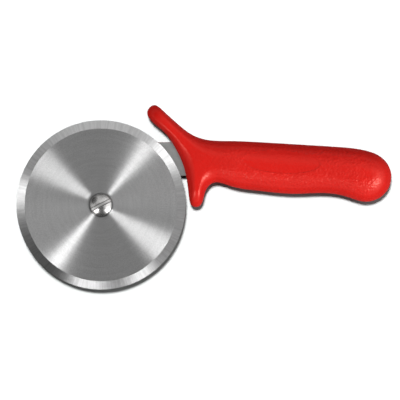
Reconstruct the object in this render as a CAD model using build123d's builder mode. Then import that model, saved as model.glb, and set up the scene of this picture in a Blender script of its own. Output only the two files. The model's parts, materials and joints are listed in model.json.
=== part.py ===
from build123d import *
import math
import os

# Pizza cutter wheel, in millimetres. It lies flat: +X runs along the handle from the wheel
# to the butt, +Z is the wheel's axle, and the middle plane of the handle holds the shank.
# Heights in the sizes below are counted from that middle plane unless they say otherwise.

# Cutting wheel: a flat disc, ground to a bevel on both sides
wheel_diameter = 101.6
wheel_thickness = 1.6
bevel_width = 5.0
edge_thickness = 0.3
wheel_bore_diameter = 11.0

# Flanged bushing, pressed into the wheel's bore
flange_diameter = 14.8
flange_thickness = 0.6
flange_edge_break = 0.2

# Slotted shoulder screw that is the axle
head_diameter = 13.0
head_rim_height = 1.1
head_dome_height = 1.9
slot_width = 2.0
slot_depth = 1.5
slot_angle = 27.0
shoulder_diameter = 8.0
thread_diameter = 6.35
thread_stand_out = 0.5
thread_chamfer = 0.6

# Washers and nut on the axle
thrust_washer_diameter = 16.0
thrust_washer_thickness = 1.0
lock_washer_diameter = 11.6
lock_washer_thickness = 1.5
lock_washer_split = 1.2
nut_across_flats = 11.1
nut_height = 5.5
nut_corner_chamfer = 0.5

# Clearances
axle_radial_clearance = 0.08
axle_end_play = 0.1
washer_radial_clearance = 0.2
thread_radial_clearance = 0.1
cut_overrun = 1.0

# Shank: a flat steel bar with a cranked arm to the axle and a tang inside the handle
shank_thickness = 2.0
bar_width = 20.0
bar_rise = 27.65
knee_reach = 30.0
knee_radius = 12.0
tang_width = 13.0
tang_reach = 81.0
tang_drop = 1.4
tang_shoulder_reach = 5.5
tang_taper_length = 5.0
tang_corner_radius = 2.0
lock_hole_diameter = 6.0
lock_hole_pitch = 22.0
lock_hole_count = 3
lock_hole_end_distance = 9.0
shank_edge_break = 0.2

# Handle: one moulded piece with a grip, a thumb prong and a finger prong
handle_length = 146.5
handle_width = 61.1
wheel_overhang = 23.05
finger_prong_drop = 1.2
guard_half_depth = 9.5
butt_half_depth = 13.1
side_roundness = 2.0
land_share = 0.13
level_count = 13

# Smooth oval panel let into each side of the grip
panel_length = 47.0
panel_height = 13.6
panel_depth = 0.25
panel_tilt = -3.7
panel_middle_shares = (0.548, 0.440)

# Outline of the handle in its middle plane, counter-clockwise from the butt, and beside each
# point the point of the ridge that the outline closes in on towards the sides. The shares
# are of handle_length and handle_width, counted from the handle's lower left corner.
butt_shares = [
    ((1.000, 0.296), (0.903, 0.319)),
    ((0.985, 0.422), (0.899, 0.326)),
    ((0.951, 0.502), (0.886, 0.332)),
]
grip_top_shares = [
    ((0.892, 0.556), (0.855, 0.340)),
    ((0.766, 0.592), (0.753, 0.357)),
    ((0.527, 0.627), (0.527, 0.390)),
    ((0.329, 0.648), (0.336, 0.445)),
]
thumb_prong_shares = [
    ((0.244, 0.660), (0.230, 0.511)),
    ((0.182, 0.712), (0.171, 0.619)),
    ((0.119, 0.828), (0.119, 0.733)),
    ((0.065, 0.946), (0.097, 0.781)),
    ((0.026, 1.000), (0.092, 0.789)),
    ((0.000, 0.939), (0.090, 0.787)),
    ((0.019, 0.838), (0.092, 0.776)),
]
guard_face_shares = [
    ((0.075, 0.720), (0.112, 0.722)),
    ((0.112, 0.591), (0.146, 0.642)),
    ((0.146, 0.419), (0.193, 0.511)),
    ((0.163, 0.249), (0.205, 0.347)),
]
finger_prong_shares = [
    ((0.172, 0.077), (0.203, 0.240)),
    ((0.183, 0.011), (0.204, 0.229)),
    ((0.211, 0.005), (0.205, 0.227)),
    ((0.229, 0.072), (0.207, 0.240)),
    ((0.240, 0.162), (0.213, 0.290)),
    ((0.268, 0.234), (0.237, 0.388)),
]
grip_bottom_shares = [
    ((0.335, 0.209), (0.323, 0.429)),
    ((0.452, 0.159), (0.452, 0.403)),
    ((0.602, 0.128), (0.602, 0.378)),
    ((0.756, 0.131), (0.739, 0.358)),
]
butt_swell_shares = [
    ((0.821, 0.097), (0.797, 0.349)),
    ((0.892, 0.051), (0.845, 0.337)),
    ((0.959, 0.101), (0.882, 0.326)),
    ((0.991, 0.195), (0.899, 0.319)),
]
handle_shares = (
    butt_shares
    + grip_top_shares
    + thumb_prong_shares
    + guard_face_shares
    + finger_prong_shares
    + grip_bottom_shares
    + butt_swell_shares
)

# Place of the axle and the handle, with the origin under the middle of the whole cutter
wheel_radius = wheel_diameter / 2
overall_length = 2 * wheel_radius - wheel_overhang + handle_length
overall_width = wheel_radius - finger_prong_drop + handle_width
axle_x = wheel_radius - overall_length / 2
axle_y = wheel_radius - overall_width / 2
handle_x = axle_x + wheel_radius - wheel_overhang
handle_y = axle_y - finger_prong_drop

# The sides of the handle slope: it is deepest at the butt and rests there at height zero
side_slope = (butt_half_depth - guard_half_depth) / handle_length
butt_outline_share = handle_shares[0][0][0]
butt_ridge_share = handle_shares[0][1][0]
land_end_share = butt_ridge_share + (butt_outline_share - butt_ridge_share) * land_share
middle_z = guard_half_depth + side_slope * handle_length * land_end_share

# Heights of the stack on the axle
shank_front = shank_thickness / 2
shank_back = -shank_thickness / 2
thrust_washer_front = shank_front + thrust_washer_thickness
wheel_back = thrust_washer_front + axle_end_play
wheel_front = wheel_back + wheel_thickness
flange_front = wheel_front + flange_thickness
head_back = flange_front + axle_end_play
head_rim_front = head_back + head_rim_height
head_front = head_rim_front + head_dome_height
lock_washer_back = shank_back - lock_washer_thickness
nut_back = lock_washer_back - nut_height
screw_end = nut_back - thread_stand_out

# Radii on the axle
head_radius = head_diameter / 2
shoulder_radius = shoulder_diameter / 2
thread_radius = thread_diameter / 2
bushing_bore_radius = shoulder_radius + axle_radial_clearance
thrust_washer_bore_radius = shoulder_radius + washer_radial_clearance
lock_washer_bore_radius = thread_radius + washer_radial_clearance
screw_hole_radius = thread_radius + thread_radial_clearance

axle = Axis((axle_x, axle_y, 0), (0, 0, 1))
axle_section = Plane((axle_x, axle_y, middle_z), x_dir=(1, 0, 0), z_dir=(0, -1, 0))


def axle_plane(height):
    """The plane square to the axle at a height above the middle plane."""
    return Plane((axle_x, axle_y, middle_z + height))


def save(builder, name):
    """Label a finished piece and write it to its own file."""
    builder.part.label = name
    export_step(builder.part, f"parts/{name}.step")


os.makedirs("parts", exist_ok=True)


# Cutting wheel
with BuildPart() as cutting_wheel:
    with BuildSketch(axle_section):
        with BuildLine():
            bore_radius = wheel_bore_diameter / 2
            bevel_radius = wheel_radius - bevel_width
            edge_middle = (wheel_back + wheel_front) / 2
            Polyline(
                (bore_radius, wheel_back),
                (bevel_radius, wheel_back),
                (wheel_radius, edge_middle - edge_thickness / 2),
                (wheel_radius, edge_middle + edge_thickness / 2),
                (bevel_radius, wheel_front),
                (bore_radius, wheel_front),
                close=True,
            )
        make_face()
    revolve(axis=axle)
save(cutting_wheel, "cutting_wheel")


# Wheel bushing: its barrel fills the wheel's bore and its flange lies on the front face
with BuildPart() as wheel_bushing:
    with BuildSketch(axle_plane(wheel_back)):
        Circle(wheel_bore_diameter / 2)
    extrude(amount=wheel_thickness)
    with BuildSketch(axle_plane(wheel_front)):
        Circle(flange_diameter / 2)
    extrude(amount=flange_thickness)
    flange_rim = wheel_bushing.faces().sort_by(Axis.Z)[-1].edges()
    chamfer(flange_rim, flange_edge_break)
    with Locations(axle_plane(flange_front)):
        Hole(bushing_bore_radius)
save(wheel_bushing, "wheel_bushing")


# Thrust washer between the shank and the wheel
with BuildPart() as thrust_washer:
    with BuildSketch(axle_plane(shank_front)):
        Circle(thrust_washer_diameter / 2)
        Circle(thrust_washer_bore_radius, mode=Mode.SUBTRACT)
    extrude(amount=thrust_washer_thickness)
save(thrust_washer, "thrust_washer")


# Axle screw: domed slotted head, shoulder that the wheel turns on, and threaded end
with BuildPart() as axle_screw:
    with BuildSketch(axle_section):
        with BuildLine():
            TangentArc((0, head_front), (head_radius, head_rim_front), tangent=(1, 0))
            Polyline(
                (head_radius, head_rim_front),
                (head_radius, head_back),
                (shoulder_radius, head_back),
                (shoulder_radius, shank_front),
                (thread_radius, shank_front),
                (thread_radius, screw_end + thread_chamfer),
                (thread_radius - thread_chamfer, screw_end),
                (0, screw_end),
                (0, head_front),
            )
        make_face()
    revolve(axis=axle)
    with BuildSketch(axle_plane(head_front)):
        Rectangle(head_diameter + cut_overrun, slot_width, rotation=slot_angle)
    extrude(amount=-slot_depth, mode=Mode.SUBTRACT)
save(axle_screw, "axle_screw")


# Split lock washer behind the shank
with BuildPart() as lock_washer:
    with BuildSketch(axle_plane(lock_washer_back)):
        Circle(lock_washer_diameter / 2)
        Circle(lock_washer_bore_radius, mode=Mode.SUBTRACT)
        Rectangle(
            lock_washer_diameter,
            lock_washer_split,
            align=(Align.MIN, Align.CENTER),
            mode=Mode.SUBTRACT,
        )
    extrude(amount=lock_washer_thickness)
save(lock_washer, "lock_washer")


# Axle nut, with its corners turned down on the outer face
with BuildPart() as axle_nut:
    nut_inner_radius = nut_across_flats / 2
    nut_corner_radius = nut_inner_radius / math.cos(math.pi / 6)
    with BuildSketch(axle_plane(nut_back)):
        RegularPolygon(nut_inner_radius, side_count=6, major_radius=False)
        Circle(thread_radius, mode=Mode.SUBTRACT)
    extrude(amount=nut_height)
    with BuildSketch(axle_section):
        with BuildLine():
            Polyline(
                (0, nut_back),
                (nut_corner_radius - nut_corner_chamfer, nut_back),
                (nut_corner_radius, nut_back + nut_corner_chamfer),
                (nut_corner_radius, nut_back + nut_height),
                (0, nut_back + nut_height),
                close=True,
            )
        make_face()
    revolve(axis=axle, mode=Mode.INTERSECT)
save(axle_nut, "axle_nut")


# Shank: the arm rises from the axle to the bar, which narrows to the tang in the handle
arm_angle = math.atan2(bar_rise, knee_reach)
half_bar = bar_width / 2
mitre = half_bar * math.tan(arm_angle / 2)
arm_edge_x = half_bar * math.sin(arm_angle)
arm_edge_y = half_bar * math.cos(arm_angle)
hub_far_x = -half_bar * math.cos(arm_angle)
hub_far_y = -half_bar * math.sin(arm_angle)
tang_start = wheel_radius + tang_shoulder_reach
tang_end = tang_start + tang_reach
tang_middle_y = bar_rise - tang_drop
tang_top = tang_middle_y + tang_width / 2
tang_bottom = tang_middle_y - tang_width / 2
with BuildPart() as shank:
    with BuildSketch(axle_plane(shank_back)) as shank_outline:
        with BuildLine():
            Polyline(
                (-arm_edge_x, arm_edge_y),
                (knee_reach - mitre, bar_rise + half_bar),
                (tang_start, bar_rise + half_bar),
                (tang_start + tang_taper_length, tang_top),
                (tang_end, tang_top),
                (tang_end, tang_bottom),
                (tang_start + tang_taper_length, tang_bottom),
                (tang_start, bar_rise - half_bar),
                (knee_reach + mitre, bar_rise - half_bar),
                (arm_edge_x, -arm_edge_y),
            )
            ThreePointArc(
                (arm_edge_x, -arm_edge_y),
                (hub_far_x, hub_far_y),
                (-arm_edge_x, arm_edge_y),
            )
        make_face()
        corners = shank_outline.vertices().sort_by(Axis.X)
        knees = corners[2:4]
        tang_corners = corners[4:]
        fillet(knees, knee_radius)
        fillet(tang_corners, tang_corner_radius)
    extrude(amount=shank_thickness)
    flat_faces = shank.faces().filter_by(Axis.Z)
    chamfer(flat_faces.edges(), shank_edge_break)
    with Locations(axle_plane(shank_front)):
        Hole(screw_hole_radius)
        for number in range(lock_hole_count):
            hole_x = tang_end - lock_hole_end_distance - number * lock_hole_pitch
            with Locations((hole_x, tang_middle_y)):
                Hole(lock_hole_diameter / 2)
save(shank, "shank")


def handle_level(turn, inset):
    """The handle's closed outline at one level, from one side (-90) to the other (90).

    The level's plane leans with the slope of the sides, and the outline closes in on the
    ridge by a rounded law. The inset sinks the sides without changing the outline."""
    rise_share = math.copysign(abs(math.sin(turn)) ** (2 / side_roundness), turn)
    spread_share = land_share + (1 - land_share) * abs(math.cos(turn)) ** (2 / side_roundness)
    lean = math.atan(side_slope * rise_share)
    start_height = (guard_half_depth - inset) * rise_share
    level_plane = Plane(
        (handle_x, handle_y, middle_z + start_height),
        x_dir=(math.cos(lean), 0, math.sin(lean)),
        z_dir=(-math.sin(lean), 0, math.cos(lean)),
    )
    points = []
    for (edge_u, edge_v), (ridge_u, ridge_v) in handle_shares:
        u = ridge_u + (edge_u - ridge_u) * spread_share
        v = ridge_v + (edge_v - ridge_v) * spread_share
        points.append((u * handle_length / math.cos(lean), v * handle_width))
    with BuildSketch(level_plane) as level:
        with BuildLine():
            Spline(*points, periodic=True)
        make_face()
    return level.sketch


def handle_levels(inset):
    """All the levels of the handle, evenly spaced in turn."""
    step = math.pi / (level_count - 1)
    return [handle_level(number * step - math.pi / 2, inset) for number in range(level_count)]


# The two thin slabs that the oval panels take out of the sides
with BuildPart() as panel_recess:
    panel_x = handle_x + panel_middle_shares[0] * handle_length
    panel_y = handle_y + panel_middle_shares[1] * handle_width
    panel_reach = butt_half_depth + cut_overrun
    with BuildSketch(Plane((panel_x, panel_y, middle_z))):
        Ellipse(panel_length / 2, panel_height / 2, rotation=panel_tilt)
    extrude(amount=panel_reach, both=True)
    loft(handle_levels(panel_depth), mode=Mode.SUBTRACT)


# Handle: moulded round the shank, so its hollow is the tang's own shape
with BuildPart() as handle:
    loft(handle_levels(0))
    add(panel_recess.part, mode=Mode.SUBTRACT)
    add(shank.part, mode=Mode.SUBTRACT)
save(handle, "handle")
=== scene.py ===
import json
import math

import bpy
from bpy.props import FloatProperty, FloatVectorProperty, IntProperty, PointerProperty
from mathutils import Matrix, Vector

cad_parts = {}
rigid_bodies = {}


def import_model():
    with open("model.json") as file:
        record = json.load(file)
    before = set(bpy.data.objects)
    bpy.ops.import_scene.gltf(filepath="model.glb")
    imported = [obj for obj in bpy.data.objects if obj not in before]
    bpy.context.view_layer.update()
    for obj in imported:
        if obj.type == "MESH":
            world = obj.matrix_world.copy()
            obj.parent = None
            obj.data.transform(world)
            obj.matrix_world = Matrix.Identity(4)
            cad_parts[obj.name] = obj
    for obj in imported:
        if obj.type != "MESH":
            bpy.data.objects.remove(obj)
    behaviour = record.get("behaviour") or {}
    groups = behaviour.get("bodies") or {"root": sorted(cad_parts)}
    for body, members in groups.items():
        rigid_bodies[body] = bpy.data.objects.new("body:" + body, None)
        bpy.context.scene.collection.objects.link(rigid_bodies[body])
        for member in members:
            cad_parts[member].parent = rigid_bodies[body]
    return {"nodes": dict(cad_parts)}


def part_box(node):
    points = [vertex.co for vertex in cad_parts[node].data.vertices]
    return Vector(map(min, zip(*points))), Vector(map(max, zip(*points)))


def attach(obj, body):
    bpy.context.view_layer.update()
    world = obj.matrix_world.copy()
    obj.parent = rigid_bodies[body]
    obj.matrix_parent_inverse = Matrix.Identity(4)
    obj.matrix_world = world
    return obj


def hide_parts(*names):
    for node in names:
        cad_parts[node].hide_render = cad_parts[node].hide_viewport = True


bl_info = {
    "name": "Pizza cutter",
    "version": (1, 0, 0),
    "blender": (4, 5, 0),
    "location": "3D View > Sidebar > Pizza Cutter",
    "description": "Finishes a pizza cutter: ground wheel, steel hardware and moulded handle",
    "category": "Object",
}

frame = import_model()
cad = frame["nodes"]

MM = 0.001

# Places that the shapes and finishes follow, read from the frame
WHEEL_LOW, WHEEL_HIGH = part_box("cutting_wheel")
SHANK_LOW, SHANK_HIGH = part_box("shank")
BUSHING_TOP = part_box("wheel_bushing")[1].z
AXLE = (WHEEL_LOW + WHEEL_HIGH) / 2
PARTING_HEIGHT = (SHANK_LOW.z + SHANK_HIGH.z) / 2

# A face counts as level when its normal rises or falls by more than this
LEVEL = 0.9

# Share of a full turn that sets the grain running in rings round the axle
RING_GRAIN = 0.25

# Where the handle's moulded grain comes in and fades, along x from the axle
GRAIN_COMES_IN = (58.0 * MM, 80.0 * MM)
GRAIN_FADES = (154.0 * MM, 170.0 * MM)

# The oval panel on the handle's side: its middle from the axle, its turn and its half sizes
PANEL_MIDDLE = (108.0 * MM, 25.7 * MM, 0.0)
PANEL_TURN = math.radians(-3.7)
PANEL_REACH = (23.5 * MM, 6.8 * MM, 1.0)

# Half width of the mould line, where it is full and where it ends
SEAM_WIDTH = (0.05 * MM, 0.22 * MM)

# The floor lies this much under the cutter, so that the two don't share a plane
FLOOR_DROP = 0.02 * MM
STAGE_STEPS = 96

# A little less red in the floor's white, against the red light that the handle throws on it
FLOOR_BALANCE = (0.98, 1.005, 1.0)


class WheelSettings(bpy.types.PropertyGroup):
    """Sizes and finish of the cutting wheel."""

    bevel_width: FloatProperty(
        name="Bevel width", description="Width of the ground bevel", default=5.0 * MM, unit="LENGTH"
    )
    edge_thickness: FloatProperty(
        name="Edge thickness", description="Thickness left at the rim",
        default=0.3 * MM, unit="LENGTH"
    )
    bore_radius: FloatProperty(
        name="Bore radius", description="Radius of the hole for the bushing",
        default=5.5 * MM, unit="LENGTH"
    )
    bevel_skew: FloatProperty(
        name="Bevel skew", description="Lean of the bevel's grinding lines",
        default=math.radians(-4), subtype="ANGLE"
    )
    rim_steps: IntProperty(name="Rim steps", description="Corners round the rim", default=192)
    steel: FloatVectorProperty(
        name="Steel", description="Colour of the ground steel",
        default=(0.55, 0.55, 0.55), subtype="COLOR"
    )
    face_roughness: FloatProperty(
        name="Face roughness", description="Roughness of the ring grain", default=0.31, subtype="FACTOR"
    )
    bevel_roughness: FloatProperty(
        name="Bevel roughness", description="Roughness of the bevel's grain",
        default=0.34, subtype="FACTOR"
    )


class ScrewSettings(bpy.types.PropertyGroup):
    """Sizes and finish of the axle screw."""

    dome_height: FloatProperty(
        name="Dome height", description="Height of the dome on the head", default=1.9 * MM, unit="LENGTH"
    )
    end_play: FloatProperty(
        name="End play", description="Gap between head and bushing", default=0.1 * MM, unit="LENGTH"
    )
    shoulder_radius: FloatProperty(
        name="Shoulder radius", description="Radius that the bushing turns on",
        default=4.0 * MM, unit="LENGTH"
    )
    thread_radius: FloatProperty(
        name="Thread radius", description="Radius of the threaded end",
        default=3.175 * MM, unit="LENGTH"
    )
    end_chamfer: FloatProperty(
        name="End chamfer", description="Chamfer at the screw's end", default=0.3 * MM, unit="LENGTH"
    )
    slot_width: FloatProperty(
        name="Slot width", description="Width of the driver slot", default=2.0 * MM, unit="LENGTH"
    )
    slot_depth: FloatProperty(
        name="Slot depth", description="Depth of the driver slot", default=1.5 * MM, unit="LENGTH"
    )
    slot_angle: FloatProperty(
        name="Slot angle", description="Turn of the driver slot",
        default=math.radians(27), subtype="ANGLE"
    )
    edge_easing: FloatProperty(
        name="Edge easing", description="Width of the worn edges", default=0.16 * MM, unit="LENGTH"
    )
    round_steps: IntProperty(name="Round steps", description="Corners round the head", default=96)
    dome_steps: IntProperty(name="Dome steps", description="Rings on the dome", default=10)
    steel: FloatVectorProperty(
        name="Steel", description="Colour of the polished screw",
        default=(0.60, 0.59, 0.58), subtype="COLOR"
    )
    roughness: FloatProperty(
        name="Roughness", description="Roughness of the polished head", default=0.235, subtype="FACTOR"
    )


class HardwareSettings(bpy.types.PropertyGroup):
    """Finish of the bushing, washers, nut and shank."""

    plain_steel: FloatVectorProperty(
        name="Plain steel", description="Colour of washers and nut",
        default=(0.50, 0.50, 0.49), subtype="COLOR"
    )
    shank_steel: FloatVectorProperty(
        name="Shank steel", description="Colour of the rolled bar",
        default=(0.57, 0.58, 0.57), subtype="COLOR"
    )
    bushing_steel: FloatVectorProperty(
        name="Bushing", description="Colour of the oiled bushing",
        default=(0.26, 0.26, 0.26), subtype="COLOR"
    )


class HandleSettings(bpy.types.PropertyGroup):
    """Finish of the moulded handle."""

    red: FloatVectorProperty(
        name="Red", description="Colour of the plastic",
        default=(0.54, 0.0038, 0.002), subtype="COLOR"
    )
    # Painted shade: a darker red for the pebbles' hollows, in place of the shade that falls in them
    hollow_shade_red: FloatVectorProperty(
        name="Deep red", description="Colour in the grain's hollows",
        default=(0.46, 0.0035, 0.002), subtype="COLOR"
    )
    roughness: FloatProperty(
        name="Roughness", description="Roughness of the smooth plastic", default=0.33, subtype="FACTOR"
    )
    grain_size: FloatProperty(
        name="Grain size", description="Size of the moulded pebbles", default=1.4 * MM, unit="LENGTH"
    )
    grain_depth: FloatProperty(
        name="Grain depth", description="Depth of the moulded pebbles", default=0.24 * MM, unit="LENGTH"
    )


class StageSettings(bpy.types.PropertyGroup):
    """Camera, lights and floor."""

    view_width: FloatProperty(
        name="View width", description="Width of the view at the object",
        default=240.0 * MM, unit="LENGTH"
    )
    camera_height: FloatProperty(
        name="Camera height", description="Height of the camera over the object",
        default=4.0, unit="LENGTH"
    )
    axle_pixel_x: FloatProperty(
        name="Axle pixel x", description="Axle's place across the view", default=101.0
    )
    axle_pixel_y: FloatProperty(
        name="Axle pixel y", description="Axle's place down the view", default=204.9
    )
    image_side: FloatProperty(
        name="Image side", description="Side of the view in pixels", default=400.0
    )
    light_distance: FloatProperty(
        name="Light distance", description="Distance of the soft boxes", default=1.0, unit="LENGTH"
    )
    surround: FloatProperty(name="Surround", description="Brightness of the room", default=0.51)
    floor_radius: FloatProperty(
        name="Floor radius", description="Reach of the floor, beyond the camera in every view",
        default=9.0, unit="LENGTH"
    )
    wall_height: FloatProperty(
        name="Wall height", description="Height of the backdrop", default=1.3, unit="LENGTH"
    )
    floor_pale: FloatProperty(
        name="Floor pale", description="How white the floor shows", default=0.34
    )
    floor_bounce: FloatProperty(
        name="Floor bounce", description="How much light the floor throws back", default=0.1
    )
    floor_light: FloatProperty(
        name="Floor light", description="Light that falls on the floor alone", default=2.85
    )
    shadow_lean: FloatProperty(
        name="Shadow lean", description="Lean of the light that casts the shadow",
        default=math.radians(10), subtype="ANGLE"
    )
    shadow_turn: FloatProperty(
        name="Shadow turn", description="Turn of the shadow from straight down the view",
        default=math.radians(15), subtype="ANGLE"
    )
    shadow_softness: FloatProperty(
        name="Shadow softness", description="Width of the light that casts the shadow",
        default=math.radians(6), subtype="ANGLE"
    )


SETTINGS = {
    "cutter_wheel": WheelSettings,
    "cutter_screw": ScrewSettings,
    "cutter_hardware": HardwareSettings,
    "cutter_handle": HandleSettings,
    "cutter_stage": StageSettings,
}


def set_range(ramp, low, high, start, end):
    """Give a map range node what goes in and what comes out."""
    numbers = {"From Min": low, "From Max": high, "To Min": start, "To Max": end}
    for name, number in numbers.items():
        ramp.inputs[name].default_value = number


def shaded(colour, factor):
    """A colour made darker or paler, and never paler than white."""
    return [min(c * factor, 1.0) for c in colour]


class Finish:
    """A node material with one main shader, and short ways to wire it."""

    def __init__(self, name, colour, roughness, metallic=0.0):
        self.material = bpy.data.materials.new(name)
        self.material.use_nodes = True
        self.tree = self.material.node_tree
        self.surface = self.tree.nodes["Principled BSDF"]
        self.set("Base Color", (*colour, 1.0))
        self.set("Roughness", roughness)
        self.set("Metallic", metallic)

    def set(self, socket, value):
        self.surface.inputs[socket].default_value = value

    def node(self, kind, **values):
        made = self.tree.nodes.new("ShaderNode" + kind)
        for name, value in values.items():
            setattr(made, name, value)
        return made

    def wire(self, source, target):
        self.tree.links.new(source, target)

    def fill(self, socket, value):
        """Give an input a wire or a fixed value."""
        if isinstance(value, bpy.types.NodeSocket):
            self.wire(value, socket)
        else:
            socket.default_value = value

    def place(self, centre=(0, 0, 0)):
        """Position on the piece, counted from a point of it, in metres."""
        where = self.node("TexCoord")
        shift = self.node("Mapping")
        shift.inputs["Location"].default_value = [-c for c in centre]
        self.wire(where.outputs["Object"], shift.inputs["Vector"])
        return shift.outputs["Vector"]

    def maths(self, operation, first, second=0.0):
        made = self.node("Math", operation=operation)
        self.fill(made.inputs[0], first)
        self.fill(made.inputs[1], second)
        return made.outputs[0]

    def average(self, first, second):
        return self.maths("MULTIPLY", self.maths("ADD", first, second), 0.5)

    def vector(self, operation, first, second=(0, 0, 0)):
        made = self.node("VectorMath", operation=operation)
        self.fill(made.inputs[0], first)
        self.fill(made.inputs[1], second)
        return made.outputs["Value" if operation == "LENGTH" else "Vector"]

    def noise(self, vector, scale=1.0, detail=2.0, roughness=0.5):
        made = self.node("TexNoise")
        self.wire(vector, made.inputs["Vector"])
        made.inputs["Scale"].default_value = scale
        made.inputs["Detail"].default_value = detail
        made.inputs["Roughness"].default_value = roughness
        return made.outputs["Fac"]

    def band(self, value, low, high, start=0.0, end=1.0):
        """Start below low, end above high, and a smooth step between."""
        made = self.node("MapRange", interpolation_type="SMOOTHSTEP")
        self.fill(made.inputs["Value"], value)
        set_range(made, low, high, start, end)
        return made.outputs["Result"]

    def blend(self, share, first, second):
        """Mix two colours, of which each is a wire or a fixed one."""
        made = self.node("Mix", data_type="RGBA")
        self.fill(made.inputs["Factor"], share)
        for socket, colour in ((made.inputs[6], first), (made.inputs[7], second)):
            wired = isinstance(colour, bpy.types.NodeSocket)
            self.fill(socket, colour if wired else (*colour, 1.0))
        return made.outputs[2]

    def tint(self, share, first, second):
        """Colour the surface from one colour to another as a share rises."""
        self.wire(self.blend(share, first, second), self.surface.inputs["Base Color"])

    def dull(self, roughness):
        self.wire(roughness, self.surface.inputs["Roughness"])

    def relief(self, height, depth):
        """Raise the surface by a height from 0 to 1 times a depth in metres."""
        made = self.node("Bump")
        made.inputs["Strength"].default_value = 1.0
        made.inputs["Distance"].default_value = depth
        self.wire(height, made.inputs["Height"])
        self.wire(made.outputs["Normal"], self.surface.inputs["Normal"])

    def round_the_axle(self, around, outwards):
        """A seamless vector that runs round the axle and out from it.

        The two numbers set how fast a pattern changes around, and outwards per metre."""
        where = self.place(AXLE)
        flat = self.vector("MULTIPLY", where, (1, 1, 0))
        heading = self.vector("NORMALIZE", flat)
        reach = self.vector("LENGTH", flat)
        rounds = self.vector("SCALE", heading)
        rounds.node.inputs["Scale"].default_value = around
        out = self.node("CombineXYZ")
        self.wire(self.maths("MULTIPLY", reach, outwards), out.inputs["Z"])
        return self.vector("ADD", rounds, out.outputs["Vector"])

    def grain_direction(self, turn):
        """Stretch reflections across the grain, which runs outwards at a turn of 0."""
        tangent = self.node("Tangent", direction_type="RADIAL", axis="Z")
        self.wire(tangent.outputs["Tangent"], self.surface.inputs["Tangent"])
        self.set("Anisotropic Rotation", turn % 1.0)


def dress(piece, *finishes):
    """Give a piece its finishes, in slot order."""
    piece.data.materials.clear()
    for finish in finishes:
        piece.data.materials.append(finish.material)


def deselect():
    bpy.ops.object.select_all(action="DESELECT")


def pick_faces(piece, test):
    """Go to edit mode with only the faces that pass a test selected."""
    if piece.mode != "EDIT":
        bpy.ops.object.mode_set(mode="EDIT")
    bpy.ops.mesh.select_mode(type="FACE")
    bpy.ops.mesh.select_all(action="DESELECT")
    bpy.ops.object.mode_set(mode="OBJECT")
    for face in piece.data.polygons:
        face.select = test(face)
    bpy.ops.object.mode_set(mode="EDIT")


def extrude_up(rise):
    """Pull the selected faces straight up, or down by a rise below 0."""
    bpy.ops.mesh.extrude_region_move(TRANSFORM_OT_translate={"value": (0, 0, rise)})


def settle(piece, sharp_angle):
    """Leave edit mode with the place in the mesh, faces outwards and smooth up to an angle."""
    if piece.mode == "EDIT":
        bpy.ops.object.mode_set(mode="OBJECT")
    bpy.ops.object.transform_apply(location=True, rotation=True, scale=True)
    bpy.ops.object.mode_set(mode="EDIT")
    bpy.ops.mesh.select_all(action="SELECT")
    bpy.ops.mesh.normals_make_consistent(inside=False)
    bpy.ops.object.mode_set(mode="OBJECT")
    bpy.ops.object.shade_smooth_by_angle(angle=math.radians(sharp_angle))


def apply_modifier(piece, kind, **values):
    """Add a modifier with its values and apply it."""
    bpy.ops.object.modifier_add(type=kind)
    modifier = piece.modifiers[-1]
    for name, value in values.items():
        setattr(modifier, name, value)
    bpy.ops.object.modifier_apply(modifier=modifier.name)


def wheel_face_finish(settings):
    """Steel ground in rings: fine concentric lines that throw fans of light."""
    steel = settings.steel
    finish = Finish("ring ground steel", steel, settings.face_roughness, metallic=1.0)
    finish.set("Anisotropic", 1.0)
    finish.grain_direction(RING_GRAIN)
    fine = finish.noise(finish.round_the_axle(around=6.0, outwards=9000.0), detail=3.0, roughness=0.6)
    broad = finish.noise(finish.round_the_axle(around=1.5, outwards=700.0))
    specks = finish.noise(finish.round_the_axle(around=60.0, outwards=1500.0), roughness=0.6)
    rings = finish.average(fine, broad)
    ring_share = 0.45
    mixed = finish.maths(
        "ADD",
        finish.maths("MULTIPLY", rings, ring_share),
        finish.maths("MULTIPLY", specks, 1.0 - ring_share),
    )
    finish.tint(finish.band(mixed, 0.38, 0.62), shaded(steel, 0.90), shaded(steel, 1.09))
    spread = 0.03
    low = settings.face_roughness - spread
    high = settings.face_roughness + spread
    finish.dull(finish.band(fine, 0.35, 0.65, low, high))
    finish.relief(fine, depth=0.002 * MM)
    return finish


def wheel_bevel_finish(settings):
    """Steel ground outwards across the bevel."""
    steel = settings.steel
    finish = Finish("bevel ground steel", steel, settings.bevel_roughness, metallic=1.0)
    finish.set("Anisotropic", 1.0)
    finish.grain_direction(settings.bevel_skew / math.tau)
    fine = finish.noise(finish.round_the_axle(around=260.0, outwards=300.0), detail=3.0, roughness=0.6)
    broad = finish.noise(finish.round_the_axle(around=38.0, outwards=60.0))
    streaks = finish.average(fine, broad)
    finish.tint(finish.band(streaks, 0.36, 0.64), shaded(steel, 0.86), shaded(steel, 1.10))
    spread = 0.03
    low = settings.bevel_roughness - spread
    high = settings.bevel_roughness + spread
    finish.dull(finish.band(fine, 0.35, 0.65, low, high))
    finish.relief(fine, depth=0.002 * MM)
    return finish


def plain_steel_finish(settings):
    """Plain steel with fine turning marks round the axle, for the washers and the nut."""
    steel = settings.plain_steel
    roughness = 0.34
    finish = Finish("plain steel", steel, roughness, metallic=1.0)
    lines = finish.noise(finish.round_the_axle(around=2.0, outwards=12000.0))
    smudge = finish.noise(finish.place(), scale=350.0, detail=3.0, roughness=0.6)
    finish.tint(finish.band(smudge, 0.4, 0.62), shaded(steel, 0.86), steel)
    finish.dull(finish.band(lines, 0.3, 0.7, roughness - 0.06, roughness + 0.08))
    finish.relief(lines, depth=0.003 * MM)
    return finish


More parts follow.
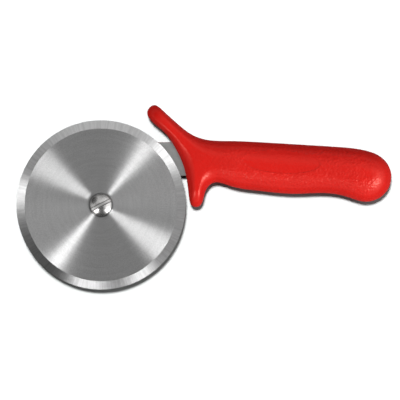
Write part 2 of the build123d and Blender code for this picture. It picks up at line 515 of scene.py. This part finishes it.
def screw_finish(settings):
    """Polished steel with fine turning marks, and a dull slot whose corners are darkened by painted
    shade and grime.
    """
    steel = settings.steel
    finish = Finish("polished screw steel", steel, settings.roughness, metallic=1.0)
    lines = finish.noise(finish.round_the_axle(around=2.0, outwards=9000.0))
    smudge = finish.noise(finish.place(), scale=500.0, detail=3.0, roughness=0.6)
    across = finish.node("Mapping", vector_type="TEXTURE")
    across.inputs["Location"].default_value = AXLE
    across.inputs["Rotation"].default_value = (0.0, 0.0, settings.slot_angle)
    finish.wire(finish.place(), across.inputs["Vector"])
    parts = finish.node("SeparateXYZ")
    finish.wire(across.outputs["Vector"], parts.inputs["Vector"])
    reach = finish.maths("ABSOLUTE", parts.outputs["Y"])
    half = settings.slot_width / 2
    edge = settings.edge_easing
    outside = finish.band(reach, half + edge * 0.4, half + edge * 1.2)
    slot = finish.maths("SUBTRACT", 1.0, outside)
    # Painted shade and grime: the slot is tinted much darker near its walls, where shade falls in its
    # corners
    corner = finish.band(reach, half * 0.55, half * 0.8)
    corner_shade_and_grime = finish.maths("MULTIPLY", corner, slot)
    tone = finish.blend(finish.band(smudge, 0.4, 0.62), shaded(steel, 0.9), steel)
    shade_and_grime_share = 0.85
    finish.tint(finish.maths("MULTIPLY", corner_shade_and_grime, shade_and_grime_share), tone, shaded(steel, 0.12))
    polish = finish.band(lines, 0.3, 0.7, settings.roughness - 0.04, settings.roughness + 0.06)
    slot_dullness = 0.25
    finish.dull(finish.maths("ADD", polish, finish.maths("MULTIPLY", slot, slot_dullness)))
    finish.relief(lines, depth=0.002 * MM)
    return finish


def rolled_steel_finish(settings):
    """Bar stock with long drawn lines and a dull mill skin."""
    steel = settings.shank_steel
    finish = Finish("rolled steel", steel, 0.34, metallic=1.0)
    where = finish.place(SHANK_LOW)
    drawn = finish.vector("MULTIPLY", where, (60.0, 5200.0, 5200.0))
    lines = finish.noise(drawn, detail=3.0, roughness=0.6)
    cloud = finish.noise(where, scale=120.0, detail=3.0, roughness=0.6)
    skin = finish.average(lines, cloud)
    finish.tint(finish.band(skin, 0.38, 0.62), shaded(steel, 0.88), steel)
    finish.dull(finish.band(lines, 0.3, 0.7, start=0.28, end=0.42))
    finish.relief(lines, depth=0.004 * MM)
    return finish


def bushing_finish(settings):
    """Dark oiled steel, turned in rings."""
    finish = Finish("oiled bushing steel", settings.bushing_steel, 0.33, metallic=1.0)
    finish.set("Anisotropic", 1.0)
    finish.grain_direction(RING_GRAIN)
    lines = finish.noise(finish.round_the_axle(around=2.0, outwards=9000.0))
    finish.dull(finish.band(lines, 0.3, 0.7, start=0.30, end=0.38))
    finish.relief(lines, depth=0.002 * MM)
    return finish


def moulded_grain(finish, where, settings):
    """Pebbles on the grip, with the share of the grain at each place.

    They fade towards the guard and the butt, and are weaker on the panel."""
    from_axle = finish.place(AXLE)
    parts = finish.node("SeparateXYZ")
    finish.wire(from_axle, parts.inputs["Vector"])
    grip_start = finish.band(parts.outputs["X"], *GRAIN_COMES_IN, start=0.35, end=1.0)
    grip_end = finish.band(parts.outputs["X"], *GRAIN_FADES, start=1.0, end=0.4)
    panel = finish.node("Mapping", vector_type="TEXTURE")
    panel.inputs["Location"].default_value = PANEL_MIDDLE
    panel.inputs["Rotation"].default_value = (0.0, 0.0, PANEL_TURN)
    panel.inputs["Scale"].default_value = PANEL_REACH
    finish.wire(from_axle, panel.inputs["Vector"])
    flat = finish.vector("MULTIPLY", panel.outputs["Vector"], (1, 1, 0))
    off_panel = finish.band(finish.vector("LENGTH", flat), 0.95, 1.0, start=0.4, end=1.0)
    share = finish.maths("MULTIPLY", finish.maths("MULTIPLY", grip_start, grip_end), off_panel)
    cells = finish.node("TexVoronoi", feature="SMOOTH_F1")
    cells.inputs["Scale"].default_value = 1.0 / settings.grain_size
    cells.inputs["Smoothness"].default_value = 0.6
    finish.wire(where, cells.inputs["Vector"])
    ripple = finish.noise(where, scale=0.35 / settings.grain_size)
    dimple = finish.maths("SUBTRACT", 1.0, cells.outputs["Distance"])
    pebbles = finish.maths("MULTIPLY", finish.maths("MULTIPLY", dimple, ripple), share)
    return pebbles, share


def mould_line(finish):
    """1 along the handle's middle plane, where the two halves of the mould met, and 0 elsewhere."""
    side = finish.node("SeparateXYZ")
    finish.wire(finish.place((0.0, 0.0, PARTING_HEIGHT)), side.inputs["Vector"])
    reach = finish.maths("ABSOLUTE", side.outputs["Z"])
    return finish.band(reach, *SEAM_WIDTH, start=1.0, end=0.0)


def handle_finish(settings):
    """Red moulded plastic: pebbled on the grip, with painted shade in the pebbles' hollows, smoother on
    the guard, the panels and the butt.
    """
    red = settings.red
    finish = Finish("moulded red plastic", red, settings.roughness)
    finish.set("IOR", 1.49)
    finish.set("Specular IOR Level", 0.74)
    finish.set("Specular Tint", (1.0, 0.44, 0.36, 1.0))
    where = finish.place()
    pebbles, grained = moulded_grain(finish, where, settings)
    skin = finish.noise(where, scale=900.0, detail=3.0, roughness=0.6)
    waves = finish.noise(where, scale=60.0)
    seam_rise = 0.8
    skin_rise = 0.06
    height = finish.maths("ADD", pebbles, finish.maths("MULTIPLY", skin, skin_rise))
    height = finish.maths("ADD", height, finish.maths("MULTIPLY", mould_line(finish), seam_rise))
    finish.relief(height, depth=settings.grain_depth * 2.0)
    tone = finish.blend(finish.band(waves, 0.35, 0.65), red, shaded(red, 0.93))
    # Painted shade: the pebbles' hollows are tinted darker red, as if shade falls in them
    hollow_shade_mask = finish.band(pebbles, 0.05, 0.35, start=0.5, end=0.0)
    finish.tint(finish.maths("MULTIPLY", hollow_shade_mask, grained), tone, settings.hollow_shade_red)
    grain_dullness = 0.07
    skin_dullness = 0.06
    dull = finish.maths(
        "ADD",
        finish.maths("MULTIPLY", grained, grain_dullness),
        finish.maths("MULTIPLY", skin, skin_dullness),
    )
    rim = finish.node("LayerWeight")
    rim_dullness = finish.band(rim.outputs["Facing"], 0.1, 0.4, start=0.0, end=0.65)
    smooth = settings.roughness - 0.03
    finish.dull(finish.maths("ADD", finish.maths("ADD", dull, smooth), rim_dullness))
    return finish


class CUTTER_OT_wheel(bpy.types.Operator):
    """Model the cutting wheel as a disc with two ground bevels, and finish it"""

    bl_idname = "cutter.wheel"
    bl_label = "Cutting wheel"

    def execute(self, context):
        settings = context.scene.cutter_wheel
        radius = (WHEEL_HIGH.x - WHEEL_LOW.x) / 2
        thickness = WHEEL_HIGH.z - WHEEL_LOW.z
        deselect()
        bpy.ops.mesh.primitive_cylinder_add(
            vertices=settings.rim_steps,
            radius=radius,
            depth=settings.edge_thickness,
            location=AXLE,
        )
        wheel = context.object
        wheel.name = "ground_wheel"
        pick_faces(wheel, lambda face: abs(face.normal.z) > LEVEL)
        rise = (thickness - settings.edge_thickness) / 2
        bpy.ops.mesh.inset(thickness=settings.bevel_width, depth=rise, use_individual=True)
        ring = radius - settings.bevel_width - settings.bore_radius
        bpy.ops.mesh.inset(thickness=ring, use_individual=True)
        bpy.ops.mesh.delete(type="ONLY_FACE")
        bpy.ops.mesh.select_mode(type="EDGE")
        bpy.ops.mesh.select_all(action="DESELECT")
        bpy.ops.mesh.select_non_manifold()
        bpy.ops.mesh.bridge_edge_loops()
        settle(wheel, sharp_angle=4.0)
        dress(wheel, wheel_face_finish(settings), wheel_bevel_finish(settings))
        # The bevel and the rim reach further out than the face, and take the second finish
        face_reach = radius - settings.bevel_width + settings.edge_thickness
        for face in wheel.data.polygons:
            corner_places = [wheel.data.vertices[v].co for v in face.vertices]
            reach = max((place - AXLE).xy.length for place in corner_places)
            face.material_index = 1 if reach > face_reach else 0
        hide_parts("cutting_wheel")
        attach(wheel, "wheel")
        return {"FINISHED"}


class CUTTER_OT_screw(bpy.types.Operator):
    """Model the axle screw with a domed, slotted head and eased edges, and finish it"""

    bl_idname = "cutter.screw"
    bl_label = "Axle screw"

    def execute(self, context):
        settings = context.scene.cutter_screw
        low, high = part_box("axle_screw")
        radius = (high.x - low.x) / 2
        rim_low = BUSHING_TOP + settings.end_play
        rim_top = high.z - settings.dome_height
        deselect()
        bpy.ops.mesh.primitive_cylinder_add(
            vertices=settings.round_steps,
            radius=radius,
            depth=rim_top - rim_low,
            location=(AXLE.x, AXLE.y, (rim_top + rim_low) / 2),
        )
        screw = context.object
        screw.name = "domed_screw"
        pick_faces(screw, lambda face: face.normal.z > LEVEL)
        ball = (radius**2 + settings.dome_height**2) / (2 * settings.dome_height)
        lean = math.asin(radius / ball)
        for step in range(settings.dome_steps):
            outer = lean * (1 - step / settings.dome_steps)
            inner = lean * (1 - (step + 1) / settings.dome_steps)
            if step == settings.dome_steps - 1:
                # The last ring leaves a small flat face in place of a point
                inner = outer / 4
            inwards = ball * (math.sin(outer) - math.sin(inner))
            upwards = ball * (math.cos(inner) - math.cos(outer))
            bpy.ops.mesh.inset(thickness=inwards, depth=upwards, use_individual=True)
        pick_faces(screw, lambda face: face.normal.z < -LEVEL)
        shoulder_end = SHANK_HIGH.z
        thread_end = low.z + settings.end_chamfer
        head_step = radius - settings.shoulder_radius
        thread_step = settings.shoulder_radius - settings.thread_radius
        bpy.ops.mesh.inset(thickness=head_step, use_individual=True)
        extrude_up(shoulder_end - rim_low)
        bpy.ops.mesh.inset(thickness=thread_step, use_individual=True)
        extrude_up(thread_end - shoulder_end)
        bpy.ops.mesh.inset(
            thickness=settings.end_chamfer, depth=settings.end_chamfer, use_individual=True
        )
        bpy.ops.object.mode_set(mode="OBJECT")
        deselect()
        # A block that is longer than the head and stands as far over its top as it cuts in
        bpy.ops.mesh.primitive_cube_add(
            size=1.0,
            location=(AXLE.x, AXLE.y, high.z),
            rotation=(0, 0, settings.slot_angle),
            scale=(radius * 3, settings.slot_width, settings.slot_depth * 2),
        )
        cutter = context.object
        deselect()
        context.view_layer.objects.active = screw
        screw.select_set(True)
        apply_modifier(screw, "BOOLEAN", operation="DIFFERENCE", object=cutter, solver="EXACT")
        bpy.data.objects.remove(cutter)
        apply_modifier(
            screw,
            "BEVEL",
            width=settings.edge_easing,
            segments=2,
            limit_method="ANGLE",
            angle_limit=math.radians(35),
        )
        settle(screw, sharp_angle=30.0)
        dress(screw, screw_finish(settings))
        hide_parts("axle_screw")
        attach(screw, "handle")
        return {"FINISHED"}


class CUTTER_OT_hardware(bpy.types.Operator):
    """Finish the bushing, washers, nut and shank"""

    bl_idname = "cutter.hardware"
    bl_label = "Axle hardware and shank"

    def execute(self, context):
        settings = context.scene.cutter_hardware
        dress(cad["wheel_bushing"], bushing_finish(settings))
        plain = plain_steel_finish(settings)
        for name in ("thrust_washer", "lock_washer", "axle_nut"):
            dress(cad[name], plain)
        dress(cad["shank"], rolled_steel_finish(settings))
        return {"FINISHED"}


class CUTTER_OT_handle(bpy.types.Operator):
    """Finish the moulded handle"""

    bl_idname = "cutter.handle"
    bl_label = "Handle"

    def execute(self, context):
        dress(cad["handle"], handle_finish(context.scene.cutter_handle))
        return {"FINISHED"}


def aim(item, target):
    """Turn a lamp or camera at a point."""
    item.rotation_euler = (Vector(target) - item.location).to_track_quat("-Z", "Y").to_euler()


def soft_box(name, distance, heading, rise, size, watts):
    """A rectangular lamp that looks at the axle from a heading and a rise in degrees."""
    turn, tip = math.radians(heading), math.radians(rise)
    out = Vector((math.cos(turn) * math.cos(tip), math.sin(turn) * math.cos(tip), math.sin(tip)))
    bpy.ops.object.light_add(type="AREA")
    lamp = bpy.context.object
    lamp.name = name
    lamp.location = AXLE + out * distance
    aim(lamp, AXLE)
    lamp.data.shape = "RECTANGLE"
    lamp.data.size, lamp.data.size_y = size
    lamp.data.energy = watts
    return lamp


def shown_to_eye(finish):
    """1 for what the camera sees, also in a reflection or through glass, and 0 for bounced light."""
    path = finish.node("LightPath")
    seen = finish.maths("MAXIMUM", path.outputs["Is Camera Ray"], path.outputs["Is Glossy Ray"])
    return finish.maths("MAXIMUM", seen, path.outputs["Is Transmission Ray"])


def floor_finish(pale, bounce):
    """Floor that shows white with the cutter's shadow, and throws little light back at it."""
    finish = Finish("pale floor", (pale, pale, pale), roughness=0.9)
    finish.set("Specular IOR Level", 0.0)
    shown = [pale * share for share in FLOOR_BALANCE]
    finish.tint(shown_to_eye(finish), (bounce, bounce, bounce), shown)
    return finish


def backdrop_finish():
    """Low wall that shows white behind the floor and lights nothing."""
    finish = Finish("white backdrop", (0.0, 0.0, 0.0), roughness=0.9)
    finish.set("Specular IOR Level", 0.0)
    finish.set("Emission Color", (1.0, 1.0, 1.0, 1.0))
    finish.wire(shown_to_eye(finish), finish.surface.inputs["Emission Strength"])
    return finish


def room_light(strength):
    """A plain studio: brightest overhead and along x, dimmer at the horizon and on the near side.

    Two dark flags hang in it, whose mirror images deepen the shade between the wheel's fans."""
    room = bpy.data.worlds.new("room")
    room.use_nodes = True
    tree = room.node_tree
    heading = tree.nodes.new("ShaderNodeTexCoord")
    parts = tree.nodes.new("ShaderNodeSeparateXYZ")
    tree.links.new(heading.outputs["Generated"], parts.inputs["Vector"])
    x, y, z = (parts.outputs[name] for name in "XYZ")

    def maths(operation, first, second):
        made = tree.nodes.new("ShaderNodeMath")
        made.operation = operation
        for socket, value in zip(made.inputs, (first, second)):
            if isinstance(value, bpy.types.NodeSocket):
                tree.links.new(value, socket)
            else:
                socket.default_value = value
        return made.outputs[0]

    def ramp(value, low, high, start, end):
        made = tree.nodes.new("ShaderNodeMapRange")
        made.interpolation_type = "SMOOTHSTEP"
        tree.links.new(value, made.inputs["Value"])
        set_range(made, low, high, start, end)
        return made.outputs["Result"]

    def flag(direction, edge, middle, left):
        """1 away from a dark flag, and the light that it leaves towards its middle."""
        facing = tree.nodes.new("ShaderNodeVectorMath")
        facing.operation = "DOT_PRODUCT"
        tree.links.new(heading.outputs["Generated"], facing.inputs[0])
        facing.inputs[1].default_value = direction
        return ramp(facing.outputs["Value"], edge, middle, 1.0, left)

    along_gain = 2.8
    across_loss = 1.3
    far_gain = 3.5
    right_gain = 0.9
    side_limit = 0.9
    darkest = 0.15
    along = maths("MULTIPLY", maths("MULTIPLY", x, x), along_gain)
    across = maths("MULTIPLY", maths("MULTIPLY", y, y), across_loss)
    cross = maths("SUBTRACT", along, across)
    far_side = maths("ADD", maths("MULTIPLY", y, far_gain), maths("MULTIPLY", x, right_gain))
    far_side = maths("MINIMUM", maths("MAXIMUM", far_side, -side_limit), side_limit)
    sides = maths("MAXIMUM", maths("ADD", maths("ADD", cross, far_side), 1.0), darkest)
    sides = maths("MULTIPLY", sides, flag((-0.205, -0.193, 0.960), edge=0.90, middle=0.99, left=0.1))
    sides = maths("MULTIPLY", sides, flag((-0.671, 0.436, 0.600), edge=0.89, middle=0.965, left=0.08))
    height = ramp(z, low=0.2, high=0.8, start=0.12, end=1.0)
    level = maths("MULTIPLY", maths("MULTIPLY", sides, height), strength)
    background = tree.nodes["Background"]
    background.inputs["Color"].default_value = (1.0, 1.0, 1.0, 1.0)
    tree.links.new(level, background.inputs["Strength"])
    return room


class CUTTER_OT_stage(bpy.types.Operator):
    """Set the floor, the room, the soft boxes and the camera"""

    bl_idname = "cutter.stage"
    bl_label = "Stage"

    def execute(self, context):
        settings = context.scene.cutter_stage
        pieces = bpy.data.collections.new("lit pieces")
        for item in bpy.data.objects:
            if item.type == "MESH":
                pieces.objects.link(item)
        deselect()
        bpy.ops.mesh.primitive_circle_add(
            vertices=STAGE_STEPS,
            radius=settings.floor_radius,
            fill_type="NGON",
            location=(0, 0, -FLOOR_DROP),
        )
        floor = context.object
        floor.name = "floor"
        dress(floor, floor_finish(settings.floor_pale, settings.floor_bounce))
        deselect()
        bpy.ops.mesh.primitive_cylinder_add(
            vertices=STAGE_STEPS,
            radius=settings.floor_radius,
            depth=settings.wall_height,
            end_fill_type="NOTHING",
            location=(0, 0, settings.wall_height / 2),
        )
        wall = context.object
        wall.name = "backdrop"
        wall.visible_shadow = False
        dress(wall, backdrop_finish())
        ground = bpy.data.collections.new("lit floor")
        ground.objects.link(floor)

        context.scene.world = room_light(settings.surround)

        far = settings.light_distance
        left = soft_box("left soft box", far, heading=230.7, rise=45.0, size=(0.12, 0.40), watts=3.5)
        right = soft_box("right soft box", far, heading=324.5, rise=39.0, size=(0.30, 0.34), watts=6.7)
        overhead = soft_box("overhead fill", far, heading=120.0, rise=50.0, size=(0.25, 0.25), watts=2.0)
        front = soft_box("front fill", far, heading=288.0, rise=38.0, size=(0.90, 0.40), watts=1.1)
        side = soft_box("side fill", far, heading=350.0, rise=32.0, size=(0.60, 0.50), watts=1.1)
        overhead.visible_glossy = False
        moulded = bpy.data.collections.new("moulded pieces")
        moulded.objects.link(cad["handle"])
        for lamp in (left, right):
            lamp.light_linking.receiver_collection = pieces
        for lamp in (overhead, front, side):
            lamp.light_linking.receiver_collection = moulded
        bpy.ops.object.light_add(type="SUN", location=(0, 0, 1))
        sun = context.object
        sun.name = "floor sun"
        sun.rotation_euler = (-settings.shadow_lean, 0, settings.shadow_turn)
        sun.data.angle = settings.shadow_softness
        sun.data.energy = settings.floor_light * math.pi
        sun.light_linking.receiver_collection = ground

        per_pixel = settings.view_width / settings.image_side
        middle = settings.image_side / 2
        bpy.ops.object.camera_add()
        camera = context.object
        camera.name = "camera"
        camera.location = (
            AXLE.x + (middle - settings.axle_pixel_x) * per_pixel,
            AXLE.y + (settings.axle_pixel_y - middle) * per_pixel,
            AXLE.z + settings.camera_height,
        )
        camera.data.lens = camera.data.sensor_width * settings.camera_height / settings.view_width
        context.scene.camera = camera
        context.scene.view_settings.view_transform = "Standard"
        return {"FINISHED"}


OPERATORS = (CUTTER_OT_wheel, CUTTER_OT_screw, CUTTER_OT_hardware, CUTTER_OT_handle, CUTTER_OT_stage)


class CUTTER_PT_panel(bpy.types.Panel):
    """The cutter's steps and settings"""

    bl_label = "Pizza Cutter"
    bl_idname = "CUTTER_PT_panel"
    bl_space_type = "VIEW_3D"
    bl_region_type = "UI"
    bl_category = "Pizza Cutter"

    def draw(self, context):
        for operator in OPERATORS:
            self.layout.operator(operator.bl_idname)
        for name, group in SETTINGS.items():
            box = self.layout.box()
            for field in group.__annotations__:
                box.prop(getattr(context.scene, name), field)


CLASSES = (*SETTINGS.values(), *OPERATORS, CUTTER_PT_panel)


def register():
    for item in CLASSES:
        bpy.utils.register_class(item)
    for name, group in SETTINGS.items():
        setattr(bpy.types.Scene, name, PointerProperty(type=group))


def unregister():
    for name in SETTINGS:
        delattr(bpy.types.Scene, name)
    for item in reversed(CLASSES):
        bpy.utils.unregister_class(item)


def main():
    register()
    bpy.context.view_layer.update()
    bpy.ops.cutter.wheel()
    bpy.ops.cutter.screw()
    bpy.ops.cutter.hardware()
    bpy.ops.cutter.handle()
    bpy.ops.cutter.stage()


if __name__ == "__main__":
    main()
